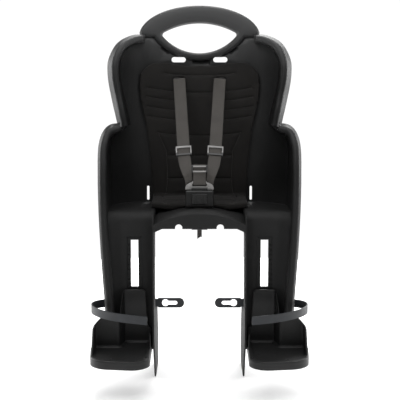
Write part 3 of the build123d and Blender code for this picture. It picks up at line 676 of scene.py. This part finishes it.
finer = pad.modifiers.new("finer", "SUBSURF")
finer.levels = finer.render_levels = 1
pad_mesh = baked_mesh(pad, "seat_pad_sewn")
pad.modifiers.clear()
points, facing = corner_rows(pad_mesh), corner_rows(pad_mesh, "normal")
front, off = pad_facing(points, facing)
sunk = front * sum(deep * np.exp(-(off / wide) ** 2) for deep, wide in SEAM_CUTS) * MM
set_corners(pad_mesh, points - facing * sunk[:, None])
for face in pad_mesh.polygons:
    face.use_smooth = True
pad_mesh.materials.clear()
pad_mesh.materials.append(PAD_FABRIC)
pad.data = pad_mesh
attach(pad, "seat")
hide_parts("seat_pad")


# Webbing

def rounded(corners, radius, step=1.5):
    """Points along straight runs joined by arcs, about a step apart, in mm."""
    corners = [np.array(c, float) for c in corners]
    line = [corners[0]]
    for before, at, after in zip(corners, corners[1:], corners[2:]):
        a, b = before - at, after - at
        a, b = a / np.linalg.norm(a), b / np.linalg.norm(b)
        half = math.acos(np.clip(a @ b, -1, 1)) / 2
        reach = min(radius / math.tan(half), 0.48 * np.linalg.norm(before - at),
                    0.48 * np.linalg.norm(after - at))
        for share in np.linspace(0, 1, 9):
            line.append(at + a * reach * (1 - share) ** 2 + b * reach * share ** 2)
    line.append(corners[-1])
    line = np.array(line)
    run = run_along(line)
    even_run = np.linspace(0, run[-1], max(4, int(run[-1] / step)))
    return np.column_stack([np.interp(even_run, run, line[:, i]) for i in range(3)])


def web_section(wide, thick):
    """Outline of webbing: (across, height) points, with raised selvedges."""
    half, edge = wide / 2, thick / 2
    dip = edge * 0.84
    top = [(half - 0.15, edge * 0.45), (half - 0.6, edge * 0.9), (half - 1.2, edge),
           (half - 2.0, edge * 0.95), (half - 2.6, dip), (half * 0.4, dip), (0, dip)]
    top = top + [(-x, h) for x, h in reversed(top[:-1])]
    return [(half, 0)] + top + [(-half, 0)] + [(x, -h) for x, h in reversed(top)]


def webbing(name, line, across, body, *nodes, wide=WEB_WIDE, skew=0.0, ripple=0.12, gather=None):
    """A strip of webbing along points in mm. across is its width direction, one or one for
    each point. gather is the share of the width at each point, where it is drawn together."""
    line = np.array(line, float)
    across = np.broadcast_to(np.array(across, float), line.shape).copy()
    ahead = np.gradient(line, axis=0)
    ahead /= np.linalg.norm(ahead, axis=1, keepdims=True)
    across -= ahead * np.sum(across * ahead, axis=1, keepdims=True)
    across /= np.linalg.norm(across, axis=1, keepdims=True)
    up = np.cross(ahead, across)
    run = run_along(line)
    section = web_section(wide, WEB_THICK)
    form = bmesh.new()
    weave = form.loops.layers.uv.new("weave")
    rings, spots = [], {}
    for i, at in enumerate(line):
        wave = ripple * (math.sin(run[i] / 17.0) + 0.6 * math.sin(run[i] / 6.3 + 1.0))
        narrow = 1.0 if gather is None else gather[i]
        ring = []
        for x, h in section:
            lean = skew * x if i == len(line) - 1 else 0.0
            rise = h + wave * (1 - (2 * x / wide) ** 2)
            place = at + across[i] * x * narrow + up[i] * rise + ahead[i] * lean
            vertex = form.verts.new(place * MM)
            spots[vertex] = (x + WEB_WIDE / 2, run[i])
            ring.append(vertex)
        rings.append(ring)
    for a, b in zip(rings, rings[1:]):
        for j in range(len(section)):
            k = (j + 1) % len(section)
            form.faces.new((a[j], a[k], b[k], b[j]))
    form.faces.new(rings[0][::-1])
    form.faces.new(rings[-1])
    for face in form.faces:
        for loop in face.loops:
            loop[weave].uv = spots[loop.vert]
    mesh = built(form, bpy.data.meshes.new(name), 60.0, WEBBING)
    return piece(name, mesh, body, "webbing", *nodes)


def ease(share):
    """0 to 1 with a slow start and end."""
    share = np.clip(share, 0, 1)
    return share * share * (3 - 2 * share)


def from_depth(x, depth, z):
    """A place in mm, its depth counted from the toe."""
    return (x, depth - MIDDLE, z)


LEVEL = (1.0, 0, 0)  # width direction of webbing that lies straight
LOW_STRAP = [(20.2, 143, 395.0), (24.3, 143, 416.1), (30.5, 171.0, 448.3)]  # x, depth, z
HIGH_STRAP = [(42.6, 304.4, 601), (42.6, 322.0, 602.6), (42.6, 327.0, 609.0),
              (42.2, 330.0, 606.0), (40.6, 329.0, 575.1)]
LOW_LEAN, HIGH_LEAN = (0.982, 0.190), (0.9969, 0.079)  # x and fall of the width direction
TURN_FROM, TURN_OVER = 436.0, 26.0  # it turns to the high lean from this height, over this much
END_SHARE = 0.62  # of its width that a shoulder strap has left at the tongue
END_TO, END_OVER = 404.0, 36.0  # narrow up to this height, then widening over this much
END_INWARD = 4.0  # by which its narrowed end moves to the middle
NEAR_BACK = 100  # y from which the strap nears the backrest and goes through it
strap_ends = {}
for side, way in SIDES:
    route = rounded([from_depth(x * way, d, z) for x, d, z in LOW_STRAP + HIGH_STRAP], 5.0)
    low, high = (np.array((x, 0, -fall * way)) for x, fall in (LOW_LEAN, HIGH_LEAN))
    behind = route[:, 1] > NEAR_BACK
    turn = np.where(behind, 1.0, ease((route[:, 2] - TURN_FROM) / TURN_OVER))[:, None]
    drawn = np.where(behind, 1.0, ease((route[:, 2] - END_TO) / END_OVER))
    drawn = END_SHARE + (1 - END_SHARE) * drawn
    route[:, 0] -= way * (1 - drawn) * END_INWARD
    webbing("shoulder_webbing_" + side, route, low * (1 - turn) + high * turn, "seat",
            "shoulder_strap_" + side, gather=drawn)
    strap_ends[side] = (route, low)

LOOP_FRONT, LOOP_BACK = 135.9, 141.1  # depths of the tongue loop's two layers
LOOP_LOW, LOOP_TOP = 397.3, 437.3
CROTCH_DEPTH = 140
CROTCH_HEIGHTS, TAIL_HEIGHTS = (362, 335, 309), (310, 300, 293)
TAIL_WIDE, TAIL_SKEW = 9.0, -0.66  # the cut tail of the crotch strap, and the slant of its end
loop_corners = [(LOOP_FRONT, LOOP_TOP), (LOOP_FRONT, LOOP_LOW), (LOOP_BACK, LOOP_LOW),
                (LOOP_BACK, LOOP_TOP)]
webbing("tongue_webbing", rounded([from_depth(0, d, z) for d, z in loop_corners], 2.4, 1.0),
        LEVEL, "seat", "tongue_loop", ripple=0.0)
webbing("crotch_webbing", rounded([from_depth(0, CROTCH_DEPTH, z) for z in CROTCH_HEIGHTS], 5.0),
        LEVEL, "seat", "buckle_strap", ripple=0.05)
webbing("crotch_webbing_tail",
        rounded([from_depth(0, CROTCH_DEPTH, z) for z in TAIL_HEIGHTS], 5.0, 1.0),
        LEVEL, "seat", wide=TAIL_WIDE, skew=TAIL_SKEW, ripple=0.0)


# Tongue, lip of the buckle, and the webs at the handle's roots and at the armrests

def plate(name, outlines, depth, thick, round_by, finish):
    """A flat piece seen from the front: (x, z) outlines in mm, holes among them, rounded edges."""
    flat = bpy.data.curves.new(name, "CURVE")
    flat.dimensions, flat.fill_mode = "2D", "BOTH"
    flat.extrude, flat.offset = (thick / 2 - round_by) * MM, -round_by * MM
    flat.bevel_depth, flat.bevel_resolution = round_by * MM, 3
    for outline in outlines:
        spline = flat.splines.new("POLY")
        spline.points.add(len(outline) - 1)
        spline.use_cyclic_u = True
        for point, (x, z) in zip(spline.points, outline):
            point.co = (x * MM, z * MM, 0, 1)
    carrier = new_object(name + "_flat", flat)
    mesh = baked_mesh(carrier, name)
    bpy.data.objects.remove(carrier)
    form = bmesh.new()
    form.from_mesh(mesh)
    bmesh.ops.remove_doubles(form, verts=form.verts, dist=1e-6)
    for vertex in form.verts:
        x, z, out = vertex.co
        vertex.co = (x, (depth - MIDDLE) * MM - out, z)
    return built(form, mesh, 35.0, finish)


def hull(name, points, finish):
    """The convex block around points in mm, with flat faces."""
    form = bmesh.new()
    for point in points:
        form.verts.new(Vector(point) * MM)
    bmesh.ops.convex_hull(form, input=form.verts)
    return built(form, bpy.data.meshes.new(name), 0.0, finish)


def arc(x, z, radius, start, end, steps=8):
    """Points of an arc round (x, z), from one angle to another in degrees."""
    return [(x + radius * math.cos(math.radians(a)), z + radius * math.sin(math.radians(a)))
            for a in np.linspace(start, end, steps)]


def round_box(half, low, high, radius, middle=0.0):
    """Outline of a box with round corners: half width, lower and upper height, middle in x."""
    right, left = middle + half - radius, middle - half + radius
    return (arc(right, low + radius, radius, -90, 0) + arc(right, high - radius, radius, 0, 90)
            + arc(left, high - radius, radius, 90, 180) + arc(left, low + radius, radius, 180, 270))


TONGUE_HALF, TONGUE_BASE, TONGUE_RISE = 27.8, 391.0, 13.3  # its arched shoulders
TONGUE_TOP = (13.5, 404.2)
TONGUE_SLOT = round_box(14.5, 394.8, 399.8, 2.0)
LIP = round_box(16.0, 382.0, 391.6, 2.2)
WING_ROOT_X = 120.5
ARM_WEB = ((146.5, 513.0), (150.5, 513.0), (171.0, 496.5), (157.0, 496.5))  # (x, z) of its section
ARM_WEB_RUN = (56.0, 114.0)  # y of its ends
shoulder = [(TONGUE_HALF * math.cos(t), TONGUE_BASE + TONGUE_RISE * math.sin(t) ** 0.9)
            for t in np.linspace(0.05, 0.99, 10)]
right_half = arc(25.6, 389.8, 2.4, -90, 0) + shoulder + [TONGUE_TOP]
tongue_edge = right_half + [(-x, z) for x, z in reversed(right_half)]
tongue_mesh = plate("tongue_plate", [tongue_edge, TONGUE_SLOT], 138.5, 3.0, 1.1, SLIDE)
piece("tongue_plate", tongue_mesh, "seat", "slide_grey", "tongue")
piece("buckle_lip", plate("buckle_lip", [LIP], 133.2, 6.4, 1.2, BUCKLE), "seat", "buckle")
for side, way in SIDES:
    root = round_box(6.0, 679.0, 693.5, 2.5, WING_ROOT_X * way)
    root_mesh = plate("wing_root_" + side, [root], 327.5, 7.0, 1.5, SHELL)
    piece("wing_root_" + side, root_mesh, "seat", "shell")
    web = [(x * way, y, z) for y in ARM_WEB_RUN for x, z in ARM_WEB]
    piece("arm_web_" + side, hull("arm_web_" + side, web, SHELL), "seat", "shell")


# Geometry Nodes: what repeats

class Growth(Board):
    """A geometry tree with named inputs, ending in Realize Instances and Set Material."""

    def __init__(self, name, **sizes):
        super().__init__(bpy.data.node_groups.new(name, "GeometryNodeTree"))
        face = self.tree.interface
        for given, kind in {"Geometry": "Geometry", **sizes, "Finish": "Material"}.items():
            face.new_socket(given, in_out="INPUT", socket_type="NodeSocket" + kind)
        face.new_socket("Geometry", in_out="OUTPUT", socket_type="NodeSocketGeometry")
        entry = self.tree.nodes.new("NodeGroupInput")
        self.given = {socket.name: Flow(self, socket) for socket in entry.outputs if socket.name}

    def close(self, **sockets):
        """Ends the tree with instances on points, made real, smooth and finished."""
        laid = self.node("GeometryNodeInstanceOnPoints", None, sockets)
        real = self.node("GeometryNodeRealizeInstances", None, {0: laid})
        smooth = self.node("GeometryNodeSetShadeSmooth", None, {0: real})
        done = self.node("GeometryNodeSetMaterial", None,
                         {"Geometry": smooth, "Material": self.given["Finish"]})
        end = self.tree.nodes.new("NodeGroupOutput")
        self.tree.links.new(done.socket, end.inputs[0])
        return self

    def grow(self, name, mesh, body, slot, **values):
        """The tree's result on a mesh, as a piece."""
        carrier = new_object(name + "_carrier", mesh)
        growth = carrier.modifiers.new("growth", "NODES")
        growth.node_group = self.tree
        for item in self.tree.interface.items_tree:
            if item.in_out == "INPUT" and item.name in values:
                growth[item.identifier] = values[item.name]
        made = baked_mesh(carrier, name)
        bpy.data.objects.remove(carrier)
        return piece(name, made, body, slot)


def points_mesh(name, places, edges=()):
    """Places in metres as a mesh without faces."""
    mesh = bpy.data.meshes.new(name)
    mesh.from_pydata(places, edges, [])
    return mesh


def edges_mesh(name, lines):
    """Lines of points in metres as a mesh of edges."""
    verts, edges = [], []
    for line in lines:
        edges += [(len(verts) + i, len(verts) + i + 1) for i in range(len(line) - 1)]
        verts += [tuple(p) for p in line]
    return points_mesh(name, verts, edges)


def stitch_tree():
    """Stitches laid along lines, each a short round of thread."""
    g = Growth("stitches along lines", Pitch="Float", Long="Float", Thick="Float")
    curve = g.node("GeometryNodeMeshToCurve", None, {"Mesh": g.given["Geometry"]})
    spaced = g.node("GeometryNodeResampleCurve", {"mode": "LENGTH"},
                    {"Curve": curve, "Length": g.given["Pitch"]})
    grain = g.node("GeometryNodeMeshUVSphere", None, {"Segments": 6, "Rings": 4, "Radius": 0.5})
    scale = g.node("ShaderNodeCombineXYZ", None,
                   {0: g.given["Long"], 1: g.given["Thick"], 2: g.given["Thick"]})
    tangent = g.node("GeometryNodeInputTangent")
    turn = g.node("FunctionNodeAlignRotationToVector", {"axis": "X"}, {"Vector": tangent})
    return g.close(Points=spaced, Instance=grain, Rotation=turn, Scale=scale)


def stud_tree():
    """Pointed studs standing on points, along one direction."""
    g = Growth("studs on points", Wide="Float", Tall="Float", Direction="Vector")
    cone = g.node("GeometryNodeMeshCone", None,
                  {"Vertices": 6, "Radius Top": 0.0, "Radius Bottom": g.given["Wide"] * 0.5,
                   "Depth": g.given["Tall"]})
    turn = g.node("FunctionNodeAlignRotationToVector", {"axis": "Z"},
                  {"Vector": g.given["Direction"]})
    return g.close(Points=g.given["Geometry"], Instance=cone, Rotation=turn)


def rib_tree():
    """Round ribs standing beside each other on points, along X."""
    g = Growth("ribs on points", Long="Float", Thick="Float")
    rod = g.node("GeometryNodeMeshCylinder", None,
                 {"Vertices": 10, "Side Segments": 1, "Radius": g.given["Thick"] * 0.5,
                  "Depth": g.given["Long"]})
    return g.close(Points=g.given["Geometry"], Instance=rod, Rotation=(0, math.pi / 2, 0))


stitches, studs, ribs = stitch_tree(), stud_tree(), rib_tree()

# Bar tacks where the shoulder straps are sewn behind the tongue, and rows across the loop
TACK = {"Pitch": 1.9 * MM, "Long": 1.7 * MM, "Thick": 0.6 * MM, "Finish": THREAD}
TACK_POINTS = (2, 4, 6, 8)  # points of the strap's route that a row crosses
TACK_OUT = np.array((0, -1.0, 0))  # from the strap's middle to its front, mm
for side, _ in SIDES:
    route, low = strap_ends[side]
    rows = [[(route[at] + low * x + TACK_OUT) * MM for x in np.linspace(-6.0, 6.0, 8)]
            for at in TACK_POINTS]
    stitches.grow("shoulder_tack_" + side, edges_mesh("tack_lines_" + side, rows),
                  "seat", "webbing", **TACK)
LOOP_TACK_HEIGHTS = (411.0, 413.6, 416.2)
loop_face = (LOOP_FRONT - 0.85 - MIDDLE) * MM
rows = [[(x * MM, loop_face, z * MM) for x in np.linspace(-9.5, 9.5, 12)]
        for z in LOOP_TACK_HEIGHTS]
stitches.grow("tongue_tack", edges_mesh("tongue_tack_lines", rows), "seat", "webbing", **TACK)

# Thread in the pad's grooves, laid on the swollen cover; a line breaks where it leaves it
THREAD_STEP = 2.0  # mm
PAD_FRONT = 0.08  # what lies in front of this y is not the back of the pad, m
cover = BVHTree.FromObject(pad, bpy.context.evaluated_depsgraph_get())
thread_lines = []
for line in back_grooves:
    run = run_along(line)
    laid = []
    for along in np.arange(0, run[-1], THREAD_STEP):
        x, z = (np.interp(along, run, line[:, i]) for i in range(2))
        hit = cover.ray_cast(Vector((x * MM, -0.3, z * MM)), Vector((0, 1, 0)))[0]
        if hit is not None and hit.y > PAD_FRONT:
            laid.append(hit + Vector((0, -0.05 * MM, 0)))
        else:
            thread_lines.append(laid)
            laid = []
    thread_lines.append(laid)
seams = edges_mesh("pad_thread_lines", [laid for laid in thread_lines if len(laid) > 2])
stitches.grow("pad_stitching", seams, "seat", "pad_fabric", Pitch=3.4 * MM, Long=2.7 * MM,
              Thick=0.55 * MM, Finish=THREAD)

# Grip ribs on the button
RIB_PITCH, RIB_SUNK = 2.6 * MM, 0.15 * MM
low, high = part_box("buckle_button")
rib_places = points_mesh("button_rib_places",
                         [(0, low.y + RIB_SUNK, (low.z + high.z) / 2 + row * RIB_PITCH)
                          for row in (-2, -1, 0, 1, 2)])
ribs.grow("button_ribs", rib_places, "button", "button", Long=17 * MM, Thick=1.1 * MM,
          Finish=BUTTON)

# Prisms on the reflector's face, every other row half a place along
PRISM_ROWS, PRISM_PLACES = 17, 28
ROW_PITCH, PLACE_PITCH = 2.1 * MM, 2.4 * MM
PRISM_HALF = 33 * MM  # half width of the field
PRISM_SUNK = 0.1 * MM
face_low, face_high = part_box("reflector")
lens_mesh = frame["nodes"]["reflector"].data
lens = BVHTree.FromPolygons([Vector(p) for p in corner_rows(lens_mesh)],
                            [tuple(p.vertices) for p in lens_mesh.polygons])
placed = []
for row in range(PRISM_ROWS):
    z = (face_low.z + face_high.z) / 2 + (row - (PRISM_ROWS - 1) / 2) * ROW_PITCH
    for place in range(PRISM_PLACES):
        x = (place - (PRISM_PLACES - 1) / 2 + 0.5 * (row % 2)) * PLACE_PITCH
        if abs(x) < PRISM_HALF:
            hit, normal, _, _ = lens.ray_cast(Vector((x, 0.5, z)), Vector((0, -1, 0)))
            if hit is not None:
                placed.append((hit, normal))
prism_places = points_mesh("prism_places", [tuple(at - out * PRISM_SUNK) for at, out in placed])
prisms = studs.grow("reflector_prisms", prism_places, "seat", "reflector_red", Wide=2.5 * MM,
                    Tall=0.8 * MM, Direction=tuple(placed[0][1]), Finish=LENS)
for face in prisms.data.polygons:
    face.use_smooth = False


# Screws of the footrest clips: shank and rounded head with a six-sided recess

def screw_mesh(name, low, neck, top, shank, head, at):
    """A screw along Y from low to top, its head from neck to top; shank and head are radii."""
    around = 30
    form = bmesh.new()

    def ring(radius, y, six=False):
        made = []
        for i in range(around):
            turn = 2 * math.pi * i / around
            reach = radius
            if six:
                reach *= math.cos(math.pi / 6) / math.cos(turn % (math.pi / 3) - math.pi / 6)
            made.append(form.verts.new((at[0] + reach * math.cos(turn), y,
                                        at[1] + reach * math.sin(turn))))
        return made

    tall = top - neck
    rings = [ring(shank * 0.8, low), ring(shank, low + shank * 0.3), ring(shank, neck),
             ring(head * 0.97, neck), ring(head, neck + tall * 0.15),
             ring(head * 0.94, neck + tall * 0.6), ring(head * 0.8, neck + tall * 0.88),
             ring(head * 0.62, top), ring(head * 0.5, top - tall * 0.04, True),
             ring(head * 0.46, top - tall * 0.12, True),
             ring(head * 0.44, neck + tall * 0.35, True)]
    for a, b in zip(rings, rings[1:]):
        for i in range(around):
            j = (i + 1) % around
            form.faces.new((a[i], b[i], b[j], a[j]))
    form.faces.new(rings[0])
    form.faces.new(rings[-1][::-1])
    return built(form, bpy.data.meshes.new(name), 40.0, STEEL)


def islands(node):
    """The separate solids of a CAD node: low corner, high corner and all corners of each."""
    form = bmesh.new()
    form.from_mesh(copied_form(node, 180.0))
    left, found = set(form.verts), []
    while left:
        group, edge_of = set(), [left.pop()]
        while edge_of:
            vertex = edge_of.pop()
            group.add(vertex)
            for edge in vertex.link_edges:
                other = edge.other_vert(vertex)
                if other in left:
                    left.discard(other)
                    edge_of.append(other)
        spread = np.array([v.co for v in group])
        found.append((spread.min(0), spread.max(0), spread))
    form.free()
    return sorted(found, key=lambda box: tuple(box[0]))


for side, _ in SIDES:
    node = "footrest_screws_" + side
    for number, (low, high, spread) in enumerate(islands(node), 1):
        middle = (low + high) / 2
        reach = np.hypot(spread[:, 0] - middle[0], spread[:, 2] - middle[2])
        head = reach.max()
        neck = spread[reach > head * 0.97, 1].min()
        shank = reach[spread[:, 1] < neck - 1e-5].max()
        at = (middle[0], middle[2])
        mesh = screw_mesh(f"{node}_{number}", low[1], neck, high[1], shank, head, at)
        made = piece(f"{node}_{number}", mesh, body_of_node[node], "screw_steel")
        if number == 1:
            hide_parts(node)


# Stage, light and camera

FLOOR_R = 1.25  # the floor melts into the white room at its rim, m


def stage_finish():
    """White floor that glows towards its rim, to meet the white room."""
    f = Finish("stage", Specular_IOR_Level=0.2, Emission_Strength=1.0)
    place = f.place()
    fine = f.noise(place, 6.0, 2.0)
    away = f.node("ShaderNodeVectorMath", {"operation": "LENGTH"}, {0: place}, out="Value")
    return f.feed(Base_Color=f.blend(fine, grey(0.86), grey(0.9)), Roughness=0.5 + fine * 0.1,
                  Emission_Color=f.blend(away.over(0.3, 1.0), grey(0.22), grey(0.95)))


floor_mesh = bpy.data.meshes.new("floor")
floor_rim = [(FLOOR_R * math.cos(math.radians(a)), FLOOR_R * math.sin(math.radians(a)), 0)
             for a in range(0, 360, 3)]
floor_mesh.from_pydata(floor_rim, [], [tuple(range(len(floor_rim)))])
floor_mesh.materials.append(stage_finish())
floor = new_object("floor", floor_mesh)


def soft_light(name, place, aim, size, power):
    """A round area light at a place, turned to what it aims at."""
    lamp = bpy.data.lights.new(name, "AREA")
    lamp.shape, lamp.size, lamp.energy = "DISK", size, power
    made = new_object(name, lamp)
    made.location = place
    made.rotation_euler = (Vector(aim) - Vector(place)).to_track_quat("-Z", "Y").to_euler()


soft_light("key", (-1.4, -1.5, 2.4), (0, 0, 0.4), 1.6, 16)
soft_light("fill", (1.7, -1.2, 2.1), (0, 0, 0.4), 1.6, 12)
soft_light("top", (0, 1.5, 2.5), (0, 0, 0.6), 1.8, 44)
soft_light("left wall", (-1.7, 0.9, 0.8), (-0.2, 0, 0.6), 1.4, 28)
soft_light("right wall", (1.7, 0.9, 0.8), (0.2, 0, 0.6), 1.4, 28)
soft_light("ceiling", (0, -0.9, 2.9), (0, 0, 0.6), 3.2, 52)
soft_light("behind", (0.6, 2.2, 1.6), (0, 0, 0.4), 1.4, 24)

ROOM_SEEN, ROOM_LIGHT = 1.04, 0.20  # strength of the room as a backdrop and as a light
world = bpy.data.worlds.new("studio")
scene.world = world
world.use_nodes = True
room = Board(world.node_tree)
backdrop = next(n for n in world.node_tree.nodes if n.type == "BACKGROUND")
backdrop.inputs["Color"].default_value = (1, 1, 1, 1)
seen = room.node("ShaderNodeLightPath", out="Is Camera Ray")
strength = seen * (ROOM_SEEN - ROOM_LIGHT) + ROOM_LIGHT
world.node_tree.links.new(strength.socket, backdrop.inputs["Strength"])

CAMERA_DOWN = 7.78  # degrees that the photo looks down
PHOTO_PIXELS, PHOTO_ASIDE = 400, 0.5  # width of the photo, and by how much the seat is aside in it
camera = new_object("camera", bpy.data.cameras.new("camera"))
camera.location = (0, -1.88575, 0.620)
camera.rotation_euler = (math.radians(90 - CAMERA_DOWN), 0, 0)
camera.data.sensor_width, camera.data.lens = 36.0, 85.68
camera.data.shift_x = PHOTO_ASIDE / PHOTO_PIXELS
scene.camera = camera
scene.view_settings.view_transform = "Standard"
